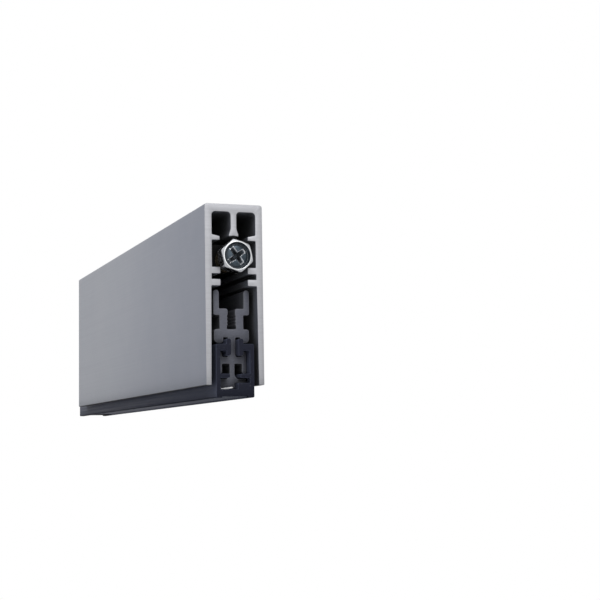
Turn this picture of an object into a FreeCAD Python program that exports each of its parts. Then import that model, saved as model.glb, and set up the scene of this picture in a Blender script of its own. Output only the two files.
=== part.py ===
"""Automatic door bottom seal with an extruded case, a dropping carrier and a push rod linkage.

Millimetres. X runs across the seal, Y along it and Z up. The origin is the centre of the case's
top face. The end with the adjusting screw faces -Y, and the rubber lips point down. Pushing the
screw in slides the rod along +Y, which opens two pairs of links and drops the carrier.
"""
import FreeCAD, Part

import math
import os

Vector = FreeCAD.Vector
ALONG_X = Vector(1, 0, 0)
ALONG_Y = Vector(0, 1, 0)

# How section corners are rounded
small_corner = 0.35
flat_share = 0.6
edge_share = 0.48
round_share = 0.99
point_gap = 0.000001
through = 0.01

# Case extrusion
case_length = 145.0
case_width = 14.0
case_height = 42.0
case_top_corner = 0.6
case_foot_corner = 0.2
inner_corner = 0.15
lug_tip_corner = 0.25
top_wall = 1.8
side_wall = 1.7
leg_root_wall = 1.5
leg_tip_wall = 1.3
upper_chamber_height = 5.4
upper_chamber_corner = 0.9
web_thickness = 1.4
web_foot_width = 2.3
web_flare_height = 1.8
web_foot_hollow = 0.2
web_foot_gap = 0.9
top_lug_thickness = 1.3
top_lug_slope = 0.4
top_lug_reach = 1.9
push_chamber_height = 6.3
lug_thickness = 1.5
lug_reach = 2.0
bracket_slot_height = 1.3
bracket_slot_wall = 1.6

# Carrier extrusion
carrier_recess = 2.5
carrier_top_gap = 0.7
prong_inner_gap = 6.0
prong_thickness = 1.35
trough_depth = 4.35
prong_skirt = 1.5
port_leg_thickness = 2.0
port_width = 1.8
port_depth = 4.8
port_tooth_depth = 0.22
port_tooth_pitch = 0.75
port_mouth_corner = 0.5
shoulder_thickness = 1.9
shoulder_width = 8.5
hook_drop = 1.3
hook_round = 1.7
hook_inner_round = 0.65
hook_thickness = 2.2
stem_thickness = 1.72
stem_height = 4.5
bar_thickness = 1.6
bar_width = 6.9
arm_thickness = 1.05
arm_rise = 1.2
arm_drop = 2.3
foot_stem_thickness = 1.2
foot_stem_height = 3.5
foot_flare = 0.7
foot_width = 6.9
foot_thickness = 0.9
tab_width = 1.1
tab_drop = 1.4
carrier_corner = 0.2

# Seal extrusion
seal_overhang = 10.5
seal_fit = 0.15
seal_wall = 0.95
flange_thickness = 1.45
bead_height = 3.9
bead_width = 1.05
bead_offset = 0.1
rib_reach = 2.3
sole_thickness = 1.65
lip_drop = 0.3
lip_width = 1.35
seal_corner = 0.35

# Linkage
link_length = 20.0
link_rest_angle = 7.0
link_swing = 16.0
pivot_drop = 0.7
pin_diameter = 2.0
pin_clearance = 0.05
pin_head_diameter = 2.9
pin_head_thickness = 0.35
eye_diameter = 3.3
link_web_depth = 2.4
link_a_thickness = 1.5
link_b_plate = 1.0
link_b_gap = 1.7
link_bridge_thickness = 0.7
link_bridge_end = 3.6
link_slot_play = 0.5
link_slot_diameter = 2.34
link_slot_eye_diameter = 3.5
link_side_gap = 0.2
link_fillet = 0.9

# Push rod, blocks and plunger
rod_above_floor = 2.4
rod_diameter = 4.0
bore_clearance = 0.05
slide_gap = 0.12
side_gap = 0.1
block_length = 8.0
block_corner = 0.35
ear_thickness = 1.45
ear_wall = 0.8
tongue_thickness = 1.4
set_screw_diameter = 2.5
plunger_recess = 6.0
plunger_length = 20.0
rod_grip = 6.0
insert_length = 6.0
insert_diameter = 5.4
front_unit_gap = 4.0
rear_block_inset = 5.0
rod_overrun = 1.0
rod_chamfer = 0.4
plunger_corner = 0.7
socket_wall = 1.0
collar_length = 3.0
collar_diameter = 5.8

# Return spring
spring_length = 12.0
spring_wire = 0.6
spring_mean_diameter = 5.1
spring_turns = 5.0
spring_wire_sides = 4

# Adjusting screw
hex_across_flats = 7.0
hex_head_height = 4.0
hex_head_proud = 2.9
hex_chamfer = 0.35
dish_diameter = 6.1
dish_depth = 0.35
recess_width = 1.1
recess_length = 4.2
recess_depth = 1.1
recess_turn = 55.0
hex_turn = 12.0
screw_diameter = 4.0
screw_length = 15.0
screw_point = 0.6

# Saddles that hang the carrier on the links
saddle_length = 28.0
saddle_side_gap = 0.05
saddle_sheet = 0.8
saddle_window = 7.0
saddle_cheek_length = 12.0
saddle_cheek_rise = 0.4
saddle_corner = 0.5
saddle_screw_pitch = 22.0
saddle_screw_diameter = 1.6
saddle_screw_length = 4.6
saddle_screw_head = 3.6
saddle_screw_head_height = 0.7

# Heights of the case, downwards from the top face
upper_chamber_roof = -top_wall
top_lug_top = upper_chamber_roof - upper_chamber_height
push_roof = top_lug_top - top_lug_thickness
push_floor = push_roof - push_chamber_height
slot_roof = push_floor - lug_thickness
slot_floor = slot_roof - bracket_slot_height
lower_lug_bottom = slot_floor - lug_thickness
case_bottom = -case_height
web_foot_bottom = push_roof + web_foot_gap

# Half widths of the case
case_half = case_width / 2
push_half = case_half - side_wall
lug_half = push_half - lug_reach
slot_half = case_half - bracket_slot_wall
near_end = -case_length / 2
far_end = near_end + case_length

# Heights and half widths of the carrier
prong_top = lower_lug_bottom - carrier_top_gap
trough_floor = prong_top - trough_depth
shoulder_top = trough_floor - port_depth
shoulder_bottom = shoulder_top - shoulder_thickness
bar_top = shoulder_bottom - stem_height
bar_bottom = bar_top - bar_thickness
foot_top = bar_bottom - foot_stem_height
foot_bottom = foot_top - foot_thickness
tab_bottom = foot_bottom - tab_drop
trough_half = prong_inner_gap / 2
port_half = port_width / 2
bar_half = bar_width / 2
foot_half = foot_width / 2
tab_half = tab_width / 2

# Linkage geometry at rest
rest_angle = math.radians(link_rest_angle)
swing = math.radians(link_swing)
pin_radius = pin_diameter / 2
eye_radius = eye_diameter / 2
upper_pivot_height = lower_lug_bottom - pivot_drop
neck_bottom = upper_pivot_height + eye_radius + link_side_gap
lower_pivot_height = upper_pivot_height - link_length * math.sin(rest_angle)
half_span = link_length * math.cos(rest_angle)
stroke = 2 * link_length * (math.cos(rest_angle) - math.cos(rest_angle + swing))
carrier_drop = link_length * (math.sin(rest_angle + swing) - math.sin(rest_angle))

# Places along the seal
rod_height = push_floor + rod_above_floor
plunger_near = near_end + plunger_recess
plunger_far = plunger_near + plunger_length
front_slide_pivot = plunger_far + front_unit_gap + block_length / 2
front_mid_pivot = front_slide_pivot + half_span
front_fixed_pivot = front_mid_pivot + half_span
rear_fixed_pivot = far_end - rear_block_inset - block_length / 2
rear_mid_pivot = rear_fixed_pivot - half_span
rear_slide_pivot = rear_mid_pivot - half_span
seal_near = near_end
seal_length = case_length + seal_overhang
collar_far_face = front_fixed_pivot - block_length / 2 - spring_length


def round_corner(before, corner, after, radius):
    """Returns the start, middle and end of the arc that rounds a corner, limited by its edges.

    A corner of small_corner or less is broken with a flat, which has no middle.
    """
    to_before = before - corner
    to_after = after - corner
    shortest = min(to_before.Length, to_after.Length)
    to_before.normalize()
    to_after.normalize()
    half_angle = to_before.getAngle(to_after) / 2
    setback = min(radius / math.tan(half_angle), edge_share * shortest)
    if radius <= small_corner:
        flat = setback * flat_share
        return corner + to_before * flat, None, corner + to_after * flat
    rounded = setback * math.tan(half_angle)
    inward = to_before + to_after
    inward.normalize()
    centre = corner + inward * (rounded / math.sin(half_angle))
    return corner + to_before * setback, centre - inward * rounded, corner + to_after * setback


def rounded_face(corners):
    """Makes a flat face from (point, radius) corners, each rounded by its radius."""
    count = len(corners)
    arcs = []
    for index in range(count):
        corner, radius = corners[index]
        before = corners[index - 1][0]
        after = corners[(index + 1) % count][0]
        if radius > 0:
            arcs.append(round_corner(before, corner, after, radius))
        else:
            arcs.append((corner, None, corner))
    edges = []
    for index in range(count):
        start, middle, end = arcs[index]
        if middle is not None:
            edges.append(Part.Arc(start, middle, end).toShape())
        elif (end - start).Length > point_gap:
            edges.append(Part.makeLine(start, end))
        next_start = arcs[(index + 1) % count][0]
        if (next_start - end).Length > point_gap:
            edges.append(Part.makeLine(end, next_start))
    return Part.Face(Part.Wire(edges))


def section(half, start, length):
    """Extrudes along Y a section that mirrors the (x, z, radius) corners of its right half."""
    right = [(Vector(x, start, z), radius) for x, z, radius in half]
    left = [(Vector(-x, start, z), radius) for x, z, radius in reversed(half) if x > 0]
    return rounded_face(right + left).extrude(ALONG_Y * length)


def side_plate(corners, start, thickness):
    """Extrudes along X an outline given as (y, z, radius) corners."""
    outline = [(Vector(start, y, z), radius) for y, z, radius in corners]
    return rounded_face(outline).extrude(ALONG_X * thickness)


def disc_along_x(start, thickness, radius, y, z):
    """Makes a disc or cylinder along X from its start."""
    return Part.makeCylinder(radius, thickness, Vector(start, y, z), ALONG_X)


def rod_along_x(half_length, radius, y, z):
    """Makes a cylinder along X that reaches as far to both sides."""
    return disc_along_x(-half_length, 2 * half_length, radius, y, z)


def rod_along_y(start, length, radius):
    """Makes a cylinder on the push rod's axis."""
    return Part.makeCylinder(radius, length, Vector(0, start, rod_height), ALONG_Y)


def bore_along_y(start, length, diameter):
    """Makes the tool for a bore on the rod's axis, which passes through both faces."""
    return rod_along_y(start - through, length + 2 * through, diameter / 2)


def edges_beyond(shape, y):
    """Lists the round edges of a turned piece that lie past a place along the seal."""
    return [edge for edge in shape.Edges if edge.BoundBox.YMin > y - through and edge.isClosed()]


def make_case():
    """The aluminium extrusion: upper chambers, web, push chamber, bracket slots and legs."""
    web_half = web_thickness / 2
    foot_half = web_foot_width / 2
    top_lug_half = push_half - top_lug_reach
    lug_slope_foot = top_lug_top - top_lug_slope
    half = [
        (0, web_foot_bottom + web_foot_hollow, 0),
        (foot_half, web_foot_bottom, inner_corner),
        (foot_half, web_foot_bottom + 2 * web_foot_hollow, inner_corner),
        (web_half, web_foot_bottom + web_flare_height, web_flare_height),
        (web_half, upper_chamber_roof, upper_chamber_corner),
        (push_half, upper_chamber_roof, upper_chamber_corner),
        (push_half, top_lug_top, lug_tip_corner),
        (top_lug_half, lug_slope_foot, lug_tip_corner),
        (top_lug_half, push_roof, inner_corner),
        (push_half, push_roof, inner_corner),
        (push_half, push_floor, inner_corner),
        (lug_half, push_floor, lug_tip_corner),
        (lug_half, slot_roof, inner_corner),
        (slot_half, slot_roof, inner_corner),
        (slot_half, slot_floor, inner_corner),
        (lug_half, slot_floor, inner_corner),
        (lug_half, lower_lug_bottom, lug_tip_corner),
        (case_half - leg_root_wall, lower_lug_bottom, lug_tip_corner),
        (case_half - leg_tip_wall, case_bottom, inner_corner),
        (case_half, case_bottom, case_foot_corner),
        (case_half, 0, case_top_corner),
    ]
    return section(half, near_end, case_length)


def port_wall():
    """The serrated wall of the screw port, as corners from its bottom up to its mouth."""
    root_half = port_half + port_tooth_depth
    corners = [(0, shoulder_top, 0), (root_half, shoulder_top, carrier_corner)]
    teeth = int((port_depth - port_mouth_corner) / port_tooth_pitch) - 1
    for tooth in range(teeth):
        root = shoulder_top + (tooth + 1) * port_tooth_pitch
        corners.append((root_half, root, 0))
        corners.append((port_half, root + port_tooth_pitch / 2, 0))
    corners.append((port_half, trough_floor, port_mouth_corner))
    return corners


def make_carrier():
    """The stiff plastic extrusion that hangs on the linkage and holds the seal.

    Its foot is deeper on the left, from the tab outwards.
    """
    prong_half = trough_half + prong_thickness
    leg_half = port_half + port_leg_thickness
    shoulder_half = shoulder_width / 2
    hook_half = shoulder_half - hook_thickness
    stem_half = stem_thickness / 2
    foot_stem_half = foot_stem_thickness / 2
    arm_half = bar_half - arm_thickness
    arm_round = arm_thickness / 2
    half = port_wall() + [
        (trough_half, trough_floor, carrier_corner),
        (trough_half, prong_top, prong_thickness / 2),
        (prong_half, prong_top, prong_thickness / 2),
        (prong_half, trough_floor - prong_skirt, carrier_corner * 2),
        (leg_half, trough_floor - prong_skirt, carrier_corner),
        (leg_half, shoulder_top, carrier_corner),
        (shoulder_half, shoulder_top, carrier_corner * 3),
        (shoulder_half, shoulder_bottom - hook_drop, hook_round),
        (hook_half, shoulder_bottom - hook_drop, hook_inner_round),
        (hook_half, shoulder_bottom, carrier_corner),
        (stem_half, shoulder_bottom, carrier_corner * 2),
        (stem_half, bar_top, carrier_corner * 2),
        (arm_half, bar_top, carrier_corner),
        (arm_half, bar_top + arm_rise, arm_round),
        (bar_half, bar_top + arm_rise, arm_round),
        (bar_half, bar_bottom - arm_drop, arm_round),
        (arm_half, bar_bottom - arm_drop, arm_round),
        (arm_half, bar_bottom, carrier_corner),
        (foot_stem_half, bar_bottom, carrier_corner),
        (foot_stem_half, foot_top + foot_flare, foot_flare),
        (foot_stem_half + foot_flare, foot_top, foot_flare),
        (foot_half, foot_top, foot_thickness / 3),
        (foot_half, foot_bottom, foot_thickness / 3),
        (tab_half, foot_bottom, carrier_corner),
        (tab_half, tab_bottom, tab_half / 2),
    ]
    start = seal_near + carrier_recess
    length = seal_length - 2 * carrier_recess
    pad = Part.makeBox(foot_half - tab_half, length, tab_drop, Vector(-foot_half, start, tab_bottom))
    return section(half, start, length).fuse(pad).removeSplitter()


def make_seal():
    """The rubber extrusion that clips round the carrier's bar and foot and ends in two lips.

    Right of the tab its sole is stepped up to the carrier's thin foot.
    """
    inner_half = bar_half + seal_fit
    outer_half = inner_half + seal_wall
    flange_bottom = bar_top + arm_rise + seal_fit
    flange_top = flange_bottom + flange_thickness
    bead_inner = stem_thickness / 2 + bead_offset
    bead_outer = bead_inner + bead_width
    bead_bottom = bar_top + seal_fit
    rib_top = bar_bottom - arm_drop - seal_fit
    rib_bottom = foot_top + seal_fit
    rib_half = inner_half - rib_reach
    sole_top = tab_bottom - seal_fit
    sole_bottom = sole_top - sole_thickness
    lip_bottom = sole_bottom - lip_drop
    lip_inner = outer_half - lip_width
    half = [
        (0, sole_top, 0),
        (inner_half, sole_top, seal_corner),
        (inner_half, rib_bottom, seal_corner / 2),
        (rib_half, rib_bottom, seal_corner),
        (rib_half, rib_top, seal_corner),
        (inner_half, rib_top, seal_corner / 2),
        (inner_half, flange_bottom, seal_corner / 2),
        (bead_outer, flange_bottom, seal_corner / 2),
        (bead_outer, bead_bottom, bead_width / 2),
        (bead_inner, bead_bottom, bead_width / 2),
        (bead_inner, bead_bottom + bead_height, bead_width / 2),
        (bead_outer, bead_bottom + bead_height, bead_width / 2),
        (bead_outer, flange_top, seal_corner / 2),
        (outer_half, flange_top, seal_corner),
        (outer_half, lip_bottom, seal_corner),
        (lip_inner, lip_bottom, seal_corner),
        (lip_inner, sole_bottom, seal_corner),
        (0, sole_bottom, 0),
    ]
    step_inner = tab_half + seal_fit
    step = Part.makeBox(inner_half - step_inner, seal_length, tab_drop,
                        Vector(step_inner, seal_near, sole_top))
    return section(half, seal_near, seal_length).fuse(step).removeSplitter()


def block_section(gap, pivot, keyed):
    """Extrudes a block that fills the push chamber, with a gap all round where it slides."""
    body_half = push_half - side_gap - gap
    neck_half = lug_half - side_gap - gap
    body_top = push_roof - side_gap - gap
    half = [
        (0, body_top, 0),
        (body_half, body_top, block_corner),
        (body_half, push_floor + gap, block_corner),
        (neck_half, push_floor + gap, inner_corner),
    ]
    if keyed:
        key_half = slot_half - inner_corner - side_gap
        half += [
            (neck_half, slot_roof, 0),
            (key_half, slot_roof, 0),
            (key_half, slot_floor, 0),
            (neck_half, slot_floor, 0),
        ]
    half += [
        (neck_half, neck_bottom, inner_corner),
        (0, neck_bottom, 0),
    ]
    return section(half, pivot - block_length / 2, block_length)


def hanging_lug(start, thickness, pivot):
    """Makes a round-ended lug that hangs from a block and carries a link's upper pin."""
    radius = pin_radius + ear_wall
    tip = upper_pivot_height - radius
    corners = [
        (pivot - radius, neck_bottom, 0),
        (pivot - radius, tip, radius * round_share),
        (pivot + radius, tip, radius * round_share),
        (pivot + radius, neck_bottom, 0),
    ]
    return side_plate(corners, start, thickness)


def make_guide_block(pivot):
    """A fixed block keyed into the bracket slots, with two ears round the link."""
    block = block_section(0, pivot, True)
    bore = bore_along_y(pivot - block_length / 2, block_length, rod_diameter + 2 * bore_clearance)
    ear_inner = link_a_thickness / 2 + link_side_gap
    ears = [
        hanging_lug(ear_inner, ear_thickness, pivot),
        hanging_lug(-ear_inner - ear_thickness, ear_thickness, pivot),
    ]
    pin_hole = rod_along_x(case_half, pin_radius, pivot, upper_pivot_height)
    return block.fuse(ears).removeSplitter().cut([bore, pin_hole])


def make_block_pin(pivot):
    """The upper pin of a fixed block, with its head outside the right ear."""
    reach = link_a_thickness / 2 + link_side_gap + ear_thickness
    return headed_pin(reach, pivot, upper_pivot_height)


def headed_pin(reach, y, z):
    """Makes a pin with a head on one side, whose shank ends flush on the other."""
    shank = rod_along_x(reach, pin_radius, y, z)
    head = disc_along_x(reach, pin_head_thickness, pin_head_diameter / 2, y, z)
    return shank.fuse(head).removeSplitter()


def make_slide_block(pivot):
    """A block fixed to the rod, running in the push chamber, with one tongue inside the link."""
    block = block_section(slide_gap, pivot, False)
    bore = bore_along_y(pivot - block_length / 2, block_length, rod_diameter)
    tongue = hanging_lug(-tongue_thickness / 2, tongue_thickness, pivot)
    pin_hole = rod_along_x(case_half, pin_radius, pivot, upper_pivot_height)
    screw_hole = Part.makeCylinder(set_screw_diameter / 2, push_chamber_height, Vector(0, pivot, rod_height))
    return block.fuse(tongue).removeSplitter().cut([bore, pin_hole, screw_hole])


def make_set_screw(pivot):
    """The set screw that locks a slide block on the rod, flush with the block's top."""
    bottom = rod_height + rod_diameter / 2
    top = push_roof - side_gap - slide_gap
    return Part.makeCylinder(set_screw_diameter / 2, top - bottom, Vector(0, pivot, bottom))


def make_slide_pin(pivot):
    """The upper pin of a slide block, with its head outside the link's right plate."""
    reach = link_b_gap / 2 + link_b_plate + link_side_gap / 2
    return headed_pin(reach, pivot, upper_pivot_height)


def slotted_eye(start, thickness, radius, stretch):
    """Lists the pieces of a round or slotted form at a link's lower pivot, longer by stretch."""
    pieces = [disc_along_x(start, thickness, radius, -link_length, 0)]
    if stretch > 0:
        pieces.append(disc_along_x(start, thickness, radius, stretch - link_length, 0))
        pieces.append(Part.makeBox(thickness, stretch, 2 * radius, Vector(start, -link_length, -radius)))
    return pieces


def link_bar(start, thickness, lower_eye_radius, stretch):
    """A bar with an eye at each end, along -Y from the origin, with blended necks."""
    upper_eye = disc_along_x(start, thickness, eye_radius, 0, 0)
    web = Part.makeBox(thickness, link_length, link_web_depth,
                       Vector(start, -link_length, -link_web_depth / 2))
    pieces = slotted_eye(start, thickness, lower_eye_radius, stretch) + [web]
    bar = upper_eye.fuse(pieces).removeSplitter()
    necks = [edge for edge in bar.Edges if is_neck(edge, thickness)]
    return bar.makeFillet(link_fillet, necks)


def is_neck(edge, thickness):
    """Tells whether an edge is where a link's web meets one of its eyes."""
    ends = [vertex.Point for vertex in edge.Vertexes]
    if len(ends) != 2 or abs(edge.Length - thickness) > point_gap:
        return False
    off_web = abs(abs(ends[0].z) - link_web_depth / 2)
    return off_web < point_gap and ends[0].y < -eye_radius / 3


def place_link(link, y, side):
    """Turns a link to its rest angle and hangs it on its upper pivot, towards -Y or mirrored."""
    link.rotate(Vector(0, 0, 0), ALONG_X, link_rest_angle)
    if side < 0:
        link = link.mirror(Vector(0, 0, 0), ALONG_Y)
    link.translate(Vector(0, y, upper_pivot_height))
    return link


def make_link_a(pivot):
    """A flat link from a fixed block down to the carrier's saddle."""
    half = link_a_thickness / 2
    bar = link_bar(-half, link_a_thickness, eye_radius, 0)
    bore = pin_radius + pin_clearance
    holes = [rod_along_x(link_a_thickness, bore, y, 0) for y in (0, -link_length)]
    return place_link(bar.cut(holes), pivot, 1)


def make_link_b(pivot):
    """A forked link from a slide block down to the saddle, with a slotted lower eye."""
    inner = link_b_gap / 2
    outer = inner + link_b_plate
    outer_eye = link_slot_eye_diameter / 2
    right = link_bar(inner, link_b_plate, outer_eye, link_slot_play)
    left = link_bar(-outer, link_b_plate, outer_eye, link_slot_play)
    bridge_length = link_length - 2 * link_bridge_end
    bridge_bottom = link_web_depth / 2 - link_bridge_thickness
    bridge = Part.makeBox(link_b_gap, bridge_length, link_bridge_thickness,
                          Vector(-inner, link_bridge_end - link_length, bridge_bottom))
    link = right.fuse([left, bridge]).removeSplitter()
    slot = slotted_eye(-2 * outer, 4 * outer, link_slot_diameter / 2, link_slot_play)
    upper_hole = rod_along_x(2 * outer, pin_radius + pin_clearance, 0, 0)
    return place_link(link.cut(slot + [upper_hole]), pivot, -1)


def saddle_half_width():
    """The saddle clears the rounded corners at the trough's floor."""
    return trough_half - carrier_corner - saddle_side_gap


def saddle_base(mid):
    """The saddle's flat base with broken corners, a window under the pin and its screw holes."""
    half_width = saddle_half_width()
    base = Part.makeBox(2 * half_width, saddle_length, saddle_sheet,
                        Vector(-half_width, mid - saddle_length / 2, trough_floor))
    corners = [edge for edge in base.Edges if abs(edge.Length - saddle_sheet) < point_gap]
    base = base.makeChamfer(saddle_corner, corners)
    inner = half_width - saddle_sheet
    cuts = [Part.makeBox(2 * inner, saddle_window, saddle_sheet,
                         Vector(-inner, mid - saddle_window / 2, trough_floor))]
    for y in saddle_screw_places(mid):
        cuts.append(Part.makeCylinder(saddle_screw_diameter / 2, saddle_sheet, Vector(0, y, trough_floor)))
    return base.cut(cuts)


def make_saddle(mid):
    """The sheet bracket in the carrier's trough whose cheeks hold the links' lower pin."""
    half_width = saddle_half_width()
    inner = half_width - saddle_sheet
    base_top = trough_floor + saddle_sheet
    crown = lower_pivot_height + eye_radius
    half_cheek = saddle_cheek_length / 2
    outline = [
        (mid - half_cheek, trough_floor, 0),
        (mid - half_cheek, base_top, 0),
        (mid - eye_radius, base_top + saddle_cheek_rise, 0),
        (mid - eye_radius, crown, eye_radius * round_share),
        (mid + eye_radius, crown, eye_radius * round_share),
        (mid + eye_radius, base_top + saddle_cheek_rise, 0),
        (mid + half_cheek, base_top, 0),
        (mid + half_cheek, trough_floor, 0),
    ]
    cheeks = [side_plate(outline, inner, saddle_sheet), side_plate(outline, -half_width, saddle_sheet)]
    saddle = saddle_base(mid).fuse(cheeks).removeSplitter()
    return saddle.cut(rod_along_x(case_half, pin_radius, mid, lower_pivot_height))


def make_saddle_pin(mid):
    """The links' lower pin, as long as the saddle is wide."""
    return rod_along_x(saddle_half_width(), pin_radius, mid, lower_pivot_height)


def saddle_screw_places(mid):
    """Lists the places along the seal of a saddle's two screws."""
    return [mid - saddle_screw_pitch / 2, mid + saddle_screw_pitch / 2]


def make_saddle_screw(y):
    """A low-headed screw through the saddle into the carrier's serrated port."""
    seat = trough_floor + saddle_sheet
    head = Part.makeCylinder(saddle_screw_head / 2, saddle_screw_head_height, Vector(0, y, seat))
    shank = Part.makeCylinder(saddle_screw_diameter / 2, saddle_screw_length,
                              Vector(0, y, seat - saddle_screw_length))
    return head.fuse(shank).removeSplitter()


def make_push_rod():
    """The steel rod from its socket in the plunger through both units to the last block."""
    start = plunger_far - rod_grip
    end = rear_fixed_pivot + block_length / 2 + rod_overrun
    rod = rod_along_y(start, end - start, rod_diameter / 2)
    return rod.makeChamfer(rod_chamfer, edges_beyond(rod, end))


def make_plunger():
    """The plastic block behind the adjusting screw, running in the push chamber."""
    half_width = push_half - side_gap - slide_gap
    top = push_roof - side_gap - slide_gap
    bottom = push_floor + slide_gap
    half = [
        (0, top, 0),
        (half_width, top, plunger_corner),
        (half_width, bottom, plunger_corner),
        (0, bottom, 0),
    ]
    block = section(half, plunger_near, plunger_length)
    socket = rod_along_y(plunger_far - rod_grip, rod_grip, rod_diameter / 2)
    pocket = rod_along_y(plunger_near, insert_length, insert_diameter / 2)
    tip_room = rod_along_y(plunger_near, plunger_length - rod_grip - socket_wall,
                           screw_diameter / 2 + bore_clearance)
    return block.cut([socket, pocket, tip_room])


def make_thread_insert():
    """The brass insert in the plunger that the adjusting screw turns in."""
    body = rod_along_y(plunger_near, insert_length, insert_diameter / 2)
    return body.cut(bore_along_y(plunger_near, insert_length, screw_diameter + 2 * bore_clearance))


def hexagon_prism(face):
    """The adjusting screw's hexagon, turned by hex_turn, from its front face."""
    corner_radius = hex_across_flats / math.sqrt(3)
    points = []
    for index in range(7):
        angle = math.radians(hex_turn + 30 + 60 * index)
        points.append(Vector(corner_radius * math.cos(angle), face,
                             rod_height + corner_radius * math.sin(angle)))
    return Part.Face(Part.makePolygon(points)).extrude(ALONG_Y * hex_head_height)


def make_screw_head(face):
    """The screw's head: a hexagon chamfered by a cone, with a round dish and a cross recess."""
    centre = Vector(0, face, rod_height)
    cone_start = (hex_across_flats - hex_chamfer) / 2
    cone = Part.makeCone(cone_start, cone_start + 2 * hex_head_height, hex_head_height, centre, ALONG_Y)
    dish = Part.makeCone(dish_diameter / 2, dish_diameter / 2 - dish_depth, dish_depth, centre, ALONG_Y)
    cuts = [dish]
    for turn in (recess_turn, recess_turn + 90):
        arm = Part.makeBox(recess_length, recess_depth, recess_width,
                           Vector(-recess_length / 2, face + dish_depth, rod_height - recess_width / 2))
        arm.rotate(centre, ALONG_Y, turn)
        cuts.append(arm)
    return hexagon_prism(face).common(cone).cut(cuts)


def make_adjusting_screw():
    """The hexagon screw that the door frame presses, with its pointed shank."""
    face = near_end - hex_head_proud
    back = face + hex_head_height
    shank = rod_along_y(back, screw_length, screw_diameter / 2)
    shank = shank.makeChamfer(screw_point, edges_beyond(shank, back + screw_length))
    return make_screw_head(face).fuse(shank).removeSplitter()


def make_spring_collar():
    """The collar on the rod that the return spring pushes against."""
    start = collar_far_face - collar_length
    collar = rod_along_y(start, collar_length, collar_diameter / 2)
    return collar.cut(bore_along_y(start, collar_length, rod_diameter))


def make_return_spring():
    """The coil spring round the rod, between the collar and the first fixed block.

    Its wire has a few flats instead of a round section.
    """
    rise = spring_length - spring_wire
    coil = Part.makeHelix(rise / spring_turns, rise, spring_mean_diameter / 2)
    start = Vector(spring_mean_diameter / 2, 0, 0)
    corners = []
    for index in range(spring_wire_sides + 1):
        angle = 2 * math.pi * index / spring_wire_sides
        corners.append(start + Vector(math.cos(angle), 0, math.sin(angle)) * (spring_wire / 2))
    spring = Part.Wire(coil.Edges).makePipeShell([Part.makePolygon(corners)], True, True)
    spring.translate(Vector(0, 0, spring_wire / 2))
    spring.rotate(Vector(0, 0, 0), ALONG_X, -90)
    spring.translate(Vector(0, collar_far_face, rod_height))
    return spring


def make_units():
    """Everything that repeats once for the front unit and once for the rear unit."""
    places = {
        "front": (front_fixed_pivot, front_mid_pivot, front_slide_pivot),
        "rear": (rear_fixed_pivot, rear_mid_pivot, rear_slide_pivot),
    }
    nodes = {}
    for unit, (fixed, mid, slide) in places.items():
        nodes["guide_block_" + unit] = make_guide_block(fixed)
        nodes["block_pin_" + unit] = make_block_pin(fixed)
        nodes["link_a_" + unit] = make_link_a(fixed)
        nodes["saddle_" + unit] = make_saddle(mid)
        nodes["saddle_pin_" + unit] = make_saddle_pin(mid)
        for number, y in enumerate(saddle_screw_places(mid), 1):
            nodes["saddle_screw_%s_%d" % (unit, number)] = make_saddle_screw(y)
        nodes["slide_block_" + unit] = make_slide_block(slide)
        nodes["slide_pin_" + unit] = make_slide_pin(slide)
        nodes["set_screw_" + unit] = make_set_screw(slide)
        nodes["link_b_" + unit] = make_link_b(slide)
    return nodes


def main():
    """Makes every piece in its place and writes one file for each."""
    nodes = {
        "case": make_case(),
        "carrier": make_carrier(),
        "seal": make_seal(),
        "push_rod": make_push_rod(),
        "plunger": make_plunger(),
        "thread_insert": make_thread_insert(),
        "adjusting_screw": make_adjusting_screw(),
        "spring_collar": make_spring_collar(),
        "return_spring": make_return_spring(),
    }
    nodes.update(make_units())
    os.makedirs("parts", exist_ok=True)
    for name, shape in nodes.items():
        shape.exportStep("parts/%s.step" % name)
        print(name, shape.isValid(), len(shape.Solids), round(shape.Volume, 2))
    print("push stroke %.4f, carrier drop %.3f" % (stroke, carrier_drop))


main()
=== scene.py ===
"""Looks for an automatic door bottom seal: extruded case, dropping carrier, rubber seal and push rod.

Metres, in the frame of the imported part: X across the seal, Y along it away from the adjusting
screw, Z up, with the origin at the middle of the case's top face.
"""

import logging
import math
from collections.abc import Callable
from dataclasses import dataclass, field
from enum import Enum
from functools import cache

import bmesh
import bpy
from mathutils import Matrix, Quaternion, Vector


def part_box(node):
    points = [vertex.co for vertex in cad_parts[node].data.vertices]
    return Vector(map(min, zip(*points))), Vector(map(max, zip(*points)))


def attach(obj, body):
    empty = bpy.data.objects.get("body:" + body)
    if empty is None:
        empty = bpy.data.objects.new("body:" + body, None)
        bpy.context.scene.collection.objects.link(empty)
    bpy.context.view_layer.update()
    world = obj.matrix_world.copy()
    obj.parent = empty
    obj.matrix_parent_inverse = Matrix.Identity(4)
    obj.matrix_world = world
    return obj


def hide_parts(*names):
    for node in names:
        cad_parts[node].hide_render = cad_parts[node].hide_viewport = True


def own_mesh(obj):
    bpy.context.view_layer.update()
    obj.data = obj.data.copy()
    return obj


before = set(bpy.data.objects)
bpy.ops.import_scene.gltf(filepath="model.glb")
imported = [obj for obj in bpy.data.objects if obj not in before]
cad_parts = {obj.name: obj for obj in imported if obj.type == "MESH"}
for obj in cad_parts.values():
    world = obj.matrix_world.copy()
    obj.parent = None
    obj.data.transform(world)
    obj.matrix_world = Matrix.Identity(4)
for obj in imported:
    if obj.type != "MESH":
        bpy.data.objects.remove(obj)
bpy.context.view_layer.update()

MM = 0.001
log = logging.getLogger("door_seal")

Triple = tuple[float, float, float]
Mesh = bmesh.types.BMesh
Ring = list[bmesh.types.BMVert]
Socket = bpy.types.NodeSocket
Input = Socket | float | Triple


class Side(Enum):
    """The two units of the linkage."""

    FRONT = "front"
    REAR = "rear"


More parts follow.
